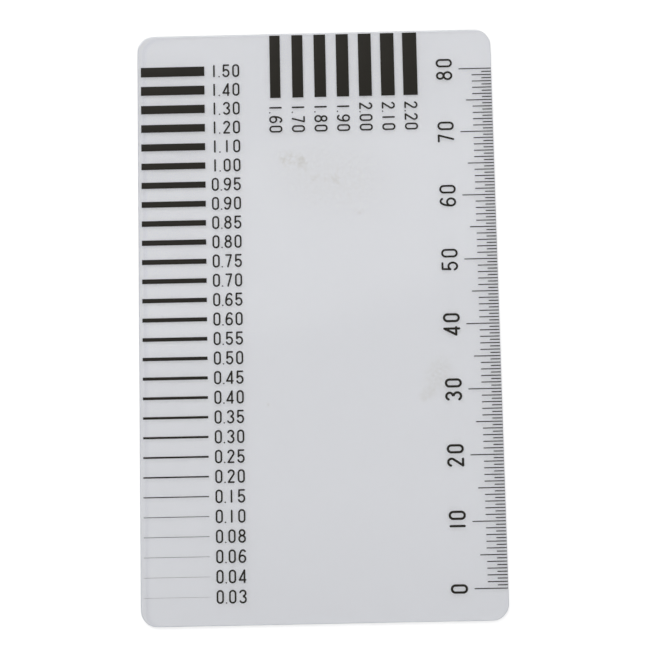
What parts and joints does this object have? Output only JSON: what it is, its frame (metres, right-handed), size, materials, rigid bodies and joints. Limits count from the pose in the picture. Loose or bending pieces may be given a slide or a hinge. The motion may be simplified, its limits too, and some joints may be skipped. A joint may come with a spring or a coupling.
{
  "type": "crack gauge",
  "caption": "Clear plastic card printed with graded black line widths for judging how wide a crack is, with a millimetre rule along one long edge.",
  "frame": {"origin": "centre of the card's blank underside", "axes": "+Z out of the printed face, +Y towards the end with the widest marks, +X towards the long edge that carries the rule"},
  "size_m": [0.055, 0.091, 0.0005],
  "materials": {
    "clear_plastic": "clear rigid sheet, gloss on both faces",
    "black_ink": "warm black screen ink, semi-matt"
  },
  "bodies": {
    "root": {"gauge_card": "clear_plastic"}
  },
  "joints": []
}
